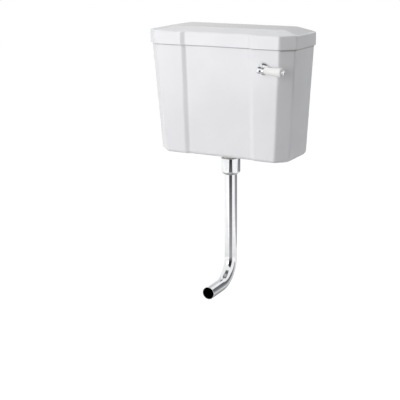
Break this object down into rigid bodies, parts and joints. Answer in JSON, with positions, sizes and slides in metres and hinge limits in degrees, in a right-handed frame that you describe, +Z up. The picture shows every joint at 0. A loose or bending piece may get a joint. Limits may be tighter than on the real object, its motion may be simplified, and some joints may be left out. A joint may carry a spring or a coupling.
{
  "type": "toilet cistern",
  "caption": "Wall-hung low-level toilet cistern in white china with a lift-off lid, front lever, piston siphon, float valve and chrome flush pipe.",
  "frame": {"origin": "midway between the two wall fixing holes, on the back face of the tank that lies on the wall", "axes": "+Y into the wall, so the front faces -Y; +X to the right for someone facing the front; +Z up"},
  "size_m": [0.4899, 0.224, 0.7811],
  "materials": {
    "china": "gloss white glaze",
    "grip_china": "gloss white glaze",
    "chrome": "polished",
    "brass": "bare turned brass",
    "steel": "plain drawn",
    "white_plastic": "moulded, off-white",
    "flap_film": "thin sheet",
    "rubber": "black rubber",
    "float_plastic": "orange moulded"
  },
  "bodies": {
    "tank": {"tank": "china", "lever_escutcheon": "chrome", "escutcheon_washer": "rubber", "lever_inner_washer": "rubber", "lever_back_nut": "brass", "siphon_housing": "white_plastic", "siphon_seal": "rubber", "siphon_washer": "white_plastic", "siphon_back_nut": "white_plastic", "union_nut": "chrome", "cone_seal": "rubber", "flush_pipe": "chrome", "valve_body": "brass", "valve_seat": "white_plastic", "valve_cap": "brass", "valve_nuts": "brass", "valve_washers": "rubber", "arm_pin": "steel"},
    "lid": {"lid": "china"},
    "lever": {"lever_hub": "chrome", "lever_spindle": "steel", "grip_stud": "steel", "grip_collar": "chrome", "lever_grip": "grip_china", "grip_end_cap": "chrome", "crank_arm": "steel", "crank_screw": "steel"},
    "siphon_piston": {"lift_rod": "steel", "lift_link": "steel", "rod_nut": "brass", "piston_plate": "white_plastic", "piston_flap": "flap_film"},
    "float": {"float_arm": "brass", "float_ball": "float_plastic"},
    "valve_piston": {"valve_piston": "white_plastic", "piston_washer": "rubber"}
  },
  "joints": [
    {"name": "lid_lift", "type": "slide", "parent": "tank", "child": "lid", "axis": [0, 0, 1], "range_m": [0, 0.14]},
    {"name": "lever_turn", "type": "hinge", "parent": "tank", "child": "lever", "pos_m": [0.146, -0.16, -0.026], "axis": [0, 1, 0], "range_deg": [0, 40]},
    {"name": "siphon_lift", "type": "slide", "parent": "tank", "child": "siphon_piston", "axis": [0, 0, 1], "range_m": [0, 0.0466]},
    {"name": "float_rise", "type": "hinge", "parent": "tank", "child": "float", "pos_m": [-0.16581, -0.062, -0.052], "axis": [0, -1, 0], "range_deg": [0, 25]},
    {"name": "valve_shut", "type": "slide", "parent": "tank", "child": "valve_piston", "axis": [-1, 0, 0], "range_m": [0, 0.0104]}
  ],
  "couplings": [
    {"joint": "siphon_lift", "follows": "lever_turn", "m_per_rad": 0.066678},
    {"joint": "valve_shut", "follows": "float_rise", "m_per_rad": 0.02381}
  ]
}
